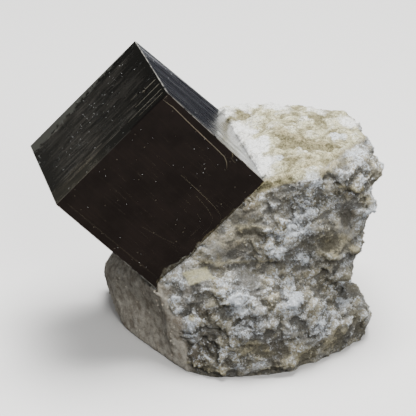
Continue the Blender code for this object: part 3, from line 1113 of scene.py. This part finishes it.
def marl_finish():
    finish, tree, shader = new_finish("chalky marl")
    relief, up, shelf, flank, rim, frost, stain_and_shade, cream, bright, chip = (
        number(tree, name) for name in MARL_NUMBERS)
    place = node(tree, "Mapping", {"Vector": node(tree, "TexCoord", out="Object"), "Scale": (1 / MM,) * 3})
    ragged = shaken_place(place)
    grain, fine, finest = (split(cells(ragged, scale, "Color"))[0] for scale in (2.3, 5.0, 8.0))
    broad, mottle = clouds(place, 0.22, 5.0), clouds(place, 0.85, 5.0)
    grit, powder = clouds(place, 4.2, 4.0, 0.7), clouds(place, 1.5, 6.0, 0.72)

    body = mix(fade(broad, 0.42, 0.60), MARL_GREY, MARL_CREAM)
    body = mix(fade(mottle, 0.48, 0.66, 0.65), body, MARL_TAN)
    # Brown where stained, and painted shade in hollows, pits and under lips.
    body = mix(fade(stain_and_shade, 0.15, 0.9, 0.8), body, BROWN_STAIN_AND_SHADE)
    # The relief and up terms make lump tops and up-facing grains whiter: a painted highlight.
    chalk = frost * 0.23 + grain * 0.20 + fine * 0.26 + powder * 0.60 + relief * 0.13 + up * 0.07
    body = mix(fade(chalk, 0.60, 0.78, 0.94), body, MARL_WHITE)
    # Cream stain, with painted light on the low right underside.
    body = mix(fade(cream, 0.12, 0.8, 0.8), body, LEDGE_CREAM)
    # Painted shade: creases, low places and the hollows under lips are darkened towards MARL_SHADE.
    body = mix(0.70 - fade(relief + grit * 0.6, 0.08, 0.46, 0.70), body, MARL_SHADE)

    # On the shelf too, higher places come out a little whiter: a painted highlight.
    chalk = powder * 0.5 + broad * 0.5 + grit * 0.25 + relief * 0.16
    top = mix(fade(chalk, 0.62, 0.82), SHELF_CREAM, SHELF_WHITE)
    # Tan where the shelf is stained, and darker in its hollows through the relief term, a painted shade.
    tan_and_shade = mottle * 0.6 + grit * 0.4 + stain_and_shade * 0.46 + relief * -0.55
    top = mix(fade(tan_and_shade, 0.47, 0.72, 0.95), top, SHELF_TAN_AND_SHADE)
    top = mix(fade(frost + fine * 0.35, 0.35, 0.9, 0.8), top, MARL_WHITE)
    # Chalk white and painted highlight, from the bright number.
    top = mix(fade(bright * 0.5 + powder * 0.4, 0.28, 0.56), top, CHALK_AND_HIGHLIGHT_WHITE)
    top = mix(fade(cream, 0.2, 0.9, 0.6), top, LEDGE_CREAM)
    speckle = ramp(grit * 0.45 + fine * 0.20 + powder * 0.35, (0.34, SPECKLE_DARK), (0.56, SPECKLE_LIGHT))
    top = mix(1.0 - bright * 0.8, top, speckle, "MULTIPLY")

    body = mix(shelf, body, top)
    body = mix(rim * 2.4, body, MARL_TAN)
    drab = mix(fade(powder * 0.4 + mottle * 0.6, 0.42, 0.60), FLANK_DRAB, FLANK_DULL)
    body = mix(flank * 0.85, body, drab)
    body = mix(chip, body, mix(fade(powder, 0.44, 0.70, 0.6), CHIP_YELLOW, MARL_GREY))
    body = mix(0.6 - fade(cells(place, 1.1), 0.05, 0.13, 0.6), body, SPECK)
    shade = ramp(grit * 0.6 + fine * 0.2 + finest * 0.2, (0.32, SHADE_DARK), (0.68, SHADE_LIGHT))
    body = mix(1.0 - flank * 0.6, body, shade, "MULTIPLY")

    rough = (clouds(place, 3.2, 6.0, 0.76) + fine * 0.20) * (1.0 - flank * 0.5)
    bump = node(tree, "Bump", {"Height": rough, "Strength": 1.0, "Distance": GRIT_DEPTH * MM})
    fill(shader, {"Base Color": body, "Normal": bump, "Roughness": MARL_ROUGHNESS,
                  "Specular IOR Level": MARL_SPECULAR})
    return finish


marl = marl_finish()
wear(stone, marl)
print("marl finish:", len(marl.node_tree.nodes), "nodes")

# %% [markdown]
# ## Crumbs and dust
# A fresh break sheds crumbs, and dust settles on polished faces.  Both are one tree: points
# scattered with a density that follows a number stored on the surface, and on each point a
# small ball squeezed and turned at random.  The crumbs inherit the stone's numbers where
# they lie, so the same finish colours them; their relief number is lifted a little, so that
# more of them get the painted highlight of white chalk and less of the painted crease shade.

# %% Crumbs
CRUMBS = {"Density": 4.2 / MM ** 2, "Smallest": 0.06 * MM, "Largest": 0.20 * MM, "Lift": 0.20, "Seed": 5}


def crumb_tree():
    tree, given = new_tree("crumbs", "Density", "Smallest", "Largest", "Lift", "Seed", "Finish")
    crumbly, relief = (add(tree, "GeometryNodeInputNamedAttribute", {"Name": name})
                       for name in ("crumbly", "relief"))
    points = scattered(tree, given, crumbly * given["Density"])
    points = add(tree, "GeometryNodeStoreNamedAttribute",
                 {"Geometry": points, "Name": "relief", "Value": relief + given["Lift"]})
    smallest, largest = (vector(tree, *[given[name]] * 3) for name in ("Smallest", "Largest"))
    size = random_value(given, smallest, largest, "FLOAT_VECTOR")
    turn = random_value(given, (0.0,) * 3, (math.tau,) * 3, "FLOAT_VECTOR")
    finish_tree(balls_on(points, turn, size), given["Finish"])
    return tree


crumble = crumb_tree()
crumbs = grow("crumbs", stone, crumble, **CRUMBS, Finish=marl)
print("crumbs:", triangles(crumbs) // 20, "of twenty faces")

# %% [markdown]
# The dust is scattered on a gridded sheet as large as a face, thicker in a few clusters.

# %% Dust
DUST = {"Density": 1.0 / MM ** 2, "Smallest": 0.02 * MM, "Largest": 0.055 * MM, "Lift": 0.0, "Seed": 8}
DUST_CELLS = 24
DUST_MARGIN = 0.3
DUST_EVEN = 0.07
DUST_CLUSTERS = {
    "front": {"band": (3.6, 9.6, 0.0, 3.4, 0.50), "band low": (4.4, 13.0, 0.0, 2.2, 0.35),
              "middle": (11.0, 5.0, 0.0, 3.0, 0.12), "tip": (18.8, 16.0, 0.0, 3.0, 0.30)},
    "left": {"middle": (12.0, 11.0, 0.0, 5.0, 0.95), "far": (16.0, 6.0, 0.0, 3.6, 0.60),
             "low": (9.0, 16.5, 0.0, 4.0, 0.50), "near the top": (4.6, 1.6, 0.0, 2.4, 0.40)},
    "right": {"far": (4.0, 16.0, 0.0, 4.0, 0.25)},
}
DUST_COLOUR = (0.62, 0.63, 0.62)
DUST_ROUGHNESS = 0.9


def dust_on(face, finish):
    """Dust on one face, scattered over a grid that carries how thick it lies."""
    sheet = face_sheet(face, DUST_MARGIN)
    with opened(sheet.data) as bm:
        bmesh.ops.subdivide_edges(bm, edges=bm.edges, cuts=DUST_CELLS - 1, use_grid_fill=True)
    paint_numbers(sheet, "crumbly", [DUST_EVEN + spots(vertex.co / MM, DUST_CLUSTERS[face], 0.0)
                                     for vertex in sheet.data.vertices])
    return grow_on(face, "specks", sheet, crumble, **DUST, Finish=finish)


grey_dust = new_finish("dust", **{"Base Color": (*DUST_COLOUR, 1.0), "Roughness": DUST_ROUGHNESS})[0]
dust = link("dust", bpy.data.meshes.new("dust"))
join(dust, [dust_on(face, grey_dust) for face in BOARDS])
dust.data.transform(in_metres)
wear(dust, grey_dust)
print("dust:", triangles(dust) // 20, "specks")

# %% [markdown]
# ## Mirror-bright pyrite
# Pyrite is an opaque metal-like sulphide.  A clean face is a mirror, and what it shows
# depends on the room; its colour here is a brass darkened below pyrite's own, so the faces
# read dark partly by painted shade.  Three things are its own: streaks parallel to the striae,
# patches where the face is etched and hazy, and worn or dusty edges that are no longer
# metal-bright.  All of them follow the crystal's ruler.  Stretching a noise twenty times along
# one axis turns it into streaks; a band near the far edge of the left face, with a ragged
# border, is the etched part; where two of the three distances to the faces are small, there is
# an edge.
#
# Each face has a little of its own.  The left one carries a thin pale film, and its colour is
# painted lighter downwards and in soft bands, a painted reflection.  The top right one is
# painted a cold blue-grey, a painted sheen, and wears a veil of dust, which is the same as
# being less of a metal there, so the veil is taken off the metallic number.

# %% Pyrite finish
# A brass darkened below pyrite's own, so the faces read dark: partly the crystal's colour, partly painted
# shade.
PYRITE_BODY = (0.27, 0.245, 0.20)
PYRITE_WARM = (0.50, 0.44, 0.30)
PYRITE_DULL = (0.15, 0.145, 0.125)
PYRITE_LINE_GLINT = (0.90, 0.86, 0.68)
PYRITE_MATT = (0.13, 0.132, 0.14)
PYRITE_COLD_SHEEN = (0.28, 0.285, 0.30)
PYRITE_HAZE = (0.44, 0.44, 0.38)
LEFT_REFLECTION_TOP, LEFT_REFLECTION_LOW, LEFT_REFLECTION_GLOW = (0.46, 0.48, 0.52), (0.82, 0.86, 0.92), (2.0, 2.0, 1.9)
EDGE_DUST = (0.40, 0.39, 0.34)
EDGE_WIDTH = 0.10
ON_FACE = 0.03
DRAWN_OUT = 0.05
MIRROR, CLOUDY_HAZE, STREAK_HAZE, ETCH_HAZE, EDGE_HAZE = 0.12, 0.42, 0.34, 0.40, 0.55
VEIL_WIDTH, VEIL_NARROWING, VEIL_RAGGED, VEIL_SOFT = 6.5, 0.45, 6.0, 3.0
VEIL_DUST, STREAK_DUST, WORN_DUST = 0.30, 0.13, 0.6
ETCH_START, ETCH_WIDENING, ETCH_RAGGED = 2.0, 0.16, 7.0
LINE_BUMP, PIT_BUMP = 0.12, 0.10


def streaks(ruler, along, scale, detail=3.0):
    """Noise drawn out along one of the crystal's edges."""
    stretch = [DRAWN_OUT if axis == along else 1.0 for axis in range(3)]
    return clouds(node(ruler.tree, "Mapping", {"Vector": ruler, "Scale": stretch}), scale, detail, 0.6)


def inside_faces(parts):
    """How far a point is from the nearer of the two faces across each edge."""
    return [edge / 2 - maths("ABSOLUTE", part - edge / 2) for part, edge in zip(parts, CUBE_EDGES)]


def worn_edges(w, inside, ruler):
    """1 close to a worn edge, in broken stretches; the left edge of the front is still sharp."""
    near_u, near_v, near_w = (distance < EDGE_WIDTH for distance in inside)
    at_left = near_u * near_w * (w > CUBE_EDGES[2] / 2)
    worn = maths("MAXIMUM", maths("MAXIMUM", near_u * near_v, near_v * near_w), at_left)
    return worn * fade(clouds(ruler, 0.7, 3.0, 0.6), 0.35, 0.58)


def etched_band(v, w, ruler):
    """A hazy strip along the far edge, widening downwards."""
    depth = w + (v - ETCH_START) * ETCH_WIDENING + clouds(ruler, 0.9, 6.0, 0.75) * ETCH_RAGGED
    return fade(depth - (CUBE_EDGES[2] + 0.5 * ETCH_RAGGED - 0.5), 0.1, 0.9)


def dust_veil(u, w, ruler):
    """A wedge of dust along the far edge of the top right face, widest at the top corner."""
    depth = w + u * -VEIL_NARROWING + streaks(ruler, 0, 1.1, 5.0) * VEIL_RAGGED
    return fade((depth - (CUBE_EDGES[2] - VEIL_WIDTH + 0.5 * VEIL_RAGGED)) / VEIL_SOFT, 0.0, 1.0)


def pyrite_finish():
    finish, tree, shader = new_finish("pyrite")
    ruler = node(tree, "Attribute", out="Vector", attribute_name="along_edges")
    u, v, w = split(ruler)
    inside = inside_faces((u, v, w))
    on_left, on_right = inside[0] < ON_FACE, inside[1] < ON_FACE
    lines = mix(on_left, streaks(ruler, 0, 2.4), streaks(ruler, 1, 2.0))
    lines = mix(on_right, lines, streaks(ruler, 0, 3.4))
    broad = clouds(ruler, 0.20, 5.0)
    bands = streaks(ruler, 1, 0.75, 3.0) * 0.32 + clouds(ruler, 0.45, 6.0, 0.7) * 0.68
    pits = cells(ruler, 0.85)
    ridge = number(tree, "line")
    worn = worn_edges(w, inside, ruler)
    hazy = etched_band(v, w, ruler) * on_left
    clean = fade(lines * 0.8 + streaks(ruler, 0, 1.1) * 0.6 + broad * -0.2, 0.50, 0.72)

    body = mix(fade(lines, 0.50, 0.70, 0.14), PYRITE_BODY, PYRITE_WARM)
    # On the left face the bands darken the colour, a painted reflection; on the others broad noise gives dull
    # patches.
    body = mix(fade(mix(on_left, broad, bands), 0.40, 0.62, 0.5), body, PYRITE_DULL)
    # Painted reflection: the left face is painted lighter downwards and where the bands glow.
    down = fade(v / CUBE_EDGES[1], 0.15, 0.75)
    reflection_glow = down * (1.0 - fade(w / CUBE_EDGES[2], 0.1, 0.38)) * bands
    left = mix(fade(reflection_glow, 0.30, 0.62), mix(down, LEFT_REFLECTION_TOP, LEFT_REFLECTION_LOW), LEFT_REFLECTION_GLOW)
    body = mix(on_left, body, mix(1.0, body, left, "MULTIPLY"))
    # Painted sheen: the top right face is painted cold blue-grey, paler where clean and darker in its matt
    # streaks.
    body = mix(on_right, body, mix(clean, PYRITE_MATT, PYRITE_COLD_SHEEN))
    film = fade(clouds(ruler, 2.4, 7.0, 0.75) * 0.6 + broad * 0.4, 0.50, 0.64, 0.22)
    body = mix(film * on_left, body, PYRITE_HAZE)
    body = mix(hazy, body, PYRITE_HAZE)
    # Painted glint: the growth lines and striae are painted a pale brass, brighter than the faces.
    body = mix(ridge * 0.65, body, PYRITE_LINE_GLINT)
    body = mix(worn * 0.8, body, EDGE_DUST)

    dull_streaks = fade(streaks(ruler, 0, 0.8, 5.0), 0.46, 0.62)
    veil = dust_veil(u, w, ruler) * VEIL_DUST + dull_streaks * STREAK_DUST
    metal = 1.0 - (worn * WORN_DUST + veil * on_right)

    cloudy = fade(bands, 0.40, 0.62) * clouds(ruler, 3.2, 4.0, 0.7)
    haze = mix(on_left, MIRROR, ramp(cloudy, (0.25, MIRROR), (0.60, CLOUDY_HAZE)))
    haze = mix(on_right * clean, haze, STREAK_HAZE)
    haze = mix(hazy, haze, ETCH_HAZE)
    haze = mix(maths("MAXIMUM", ridge * 0.5, worn), haze, EDGE_HAZE)
    haze = mix(1.0, haze, ramp(pits, (0.06, 0.55), (0.09, 0.0)), "ADD")

    level = mix(on_right, lines, 0.5)
    bump = node(tree, "Bump", {"Height": level, "Strength": 0.20, "Distance": LINE_BUMP * MM})
    dents = node(tree, "Bump", {"Height": ramp(pits, (0.04, 0.0), (0.10, 1.0)), "Strength": 0.5,
                                "Distance": PIT_BUMP * MM, "Normal": bump})
    fill(shader, {"Base Color": body, "Metallic": metal, "Roughness": haze, "Normal": dents})
    return finish


pyrite = pyrite_finish()
wear(crystal, pyrite)
print("pyrite finish:", len(pyrite.node_tree.nodes), "nodes")

# %% [markdown]
# ## Floor and light
# The floor is plain and pale.  A polished metal shows whatever stands around it, and a dark
# face only looks dark if something dark is mirrored in it.  So the floor and the lamps are
# left out of mirror images, and the sky seen in them is a dim gradient, brighter overhead,
# with a pale panel on the right.

# %% Floor
FLOOR_HALF = 1.2
FLOOR_COLOUR = (0.78, 0.77, 0.75)
FLOOR_ROUGHNESS = 0.85

floor = rectangle("floor", (-FLOOR_HALF,) * 2, (FLOOR_HALF,) * 2)
paint = new_finish("pale floor", **{"Base Color": (*FLOOR_COLOUR, 1.0), "Roughness": FLOOR_ROUGHNESS})[0]
wear(floor, paint)
put(floor, visible_glossy=False, visible_diffuse=False)
print("floor:", 2 * FLOOR_HALF, "m wide")

# %% [markdown]
# The stone sees an ordinary soft grey sky, dim below the horizon and brighter from behind,
# a large key lamp overhead and a little behind, a smaller lamp in front on the right, and a
# weak one low on the right that models the break.

# %% Lamps and sky
STONE_MIDDLE = (0.004, 0.0, 0.015)
LAMPS = {
    "key": ((0.03, 0.04, 0.38), 0.20, 4.0),
    "front": ((0.10, -0.29, 0.24), 0.14, 1.05),
    "low": ((0.24, -0.20, 0.05), 0.14, 0.14),
}
BACK_FILL = 1.5
SKY_STRENGTH = 0.38


def lamp(name, place, size, power):
    """A square lamp that points at the middle of the stone."""
    light = put(bpy.data.lights.new(name, "AREA"), size=size, energy=power)
    aim = (Vector(STONE_MIDDLE) - Vector(place)).to_track_quat("-Z", "Y").to_euler()
    return put(link(name, light), location=place, rotation_euler=aim, visible_glossy=False)


for name, values in LAMPS.items():
    lamp(name, *values)

sky = put(bpy.data.worlds.new("soft sky"), use_nodes=True)
bpy.context.scene.world = sky
tree = sky.node_tree
tree.nodes.clear()
rightwards, backwards, upwards = split(node(tree, "TexCoord", out="Generated"))
level, towards_back = (maths("MULTIPLY_ADD", part, 0.5, 0.5) for part in (upwards, backwards))
heights = ramp(level, (0.20, (0.10, 0.09, 0.09)), (0.40, (0.12, 0.12, 0.135)),
               (0.62, (0.085, 0.085, 0.08)), (0.85, (0.70, 0.71, 0.73)))
sides = ramp(towards_back, (0.10, (0.76, 0.67, 0.66)), (0.80, 1.0), (0.89, 1.0), (0.97, (0.55, 0.565, 0.60)))
panel = ramp(rightwards, (0.78, 0.0), (0.92, (0.85, 0.80, 0.70)))
mirrored = mix(1.0, mix(1.0, heights, sides, "MULTIPLY"), panel, "ADD")
soft = ramp(level, (0.40, 0.16), (0.62, (0.80, 0.82, 0.85)))
soft = mix(fade(towards_back * 0.75 + rightwards * 0.20, 0.45, 0.78), soft, BACK_FILL)
seen = node(tree, "MixShader", {0: node(tree, "LightPath", out="Is Glossy Ray"),
                                1: node(tree, "Background", {"Color": soft, "Strength": SKY_STRENGTH}),
                                2: node(tree, "Background", {"Color": mirrored, "Strength": 1.0})})
fill(tree.nodes.new("ShaderNodeOutputWorld"), {"Surface": seen})
print("lamps:", ", ".join(LAMPS), "and a sky of", len(tree.nodes), "nodes")

# %% [markdown]
# ## The pieces on the body
# Each finished piece rides on the specimen's one body and takes the place of its solid,
# which is hidden.  Crumbs and dust stand for no solid and only ride along.

# %% Ride and replace
for piece, solid, finish_slot in ((crystal, "pyrite_cube", "pyrite"), (stone, "matrix_stone", "marl")):
    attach(piece, "root")
    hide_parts(solid)
for piece in (crumbs, dust):
    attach(piece, "root")
print("pieces:", [piece.name for piece in (crystal, stone, crumbs, dust)])
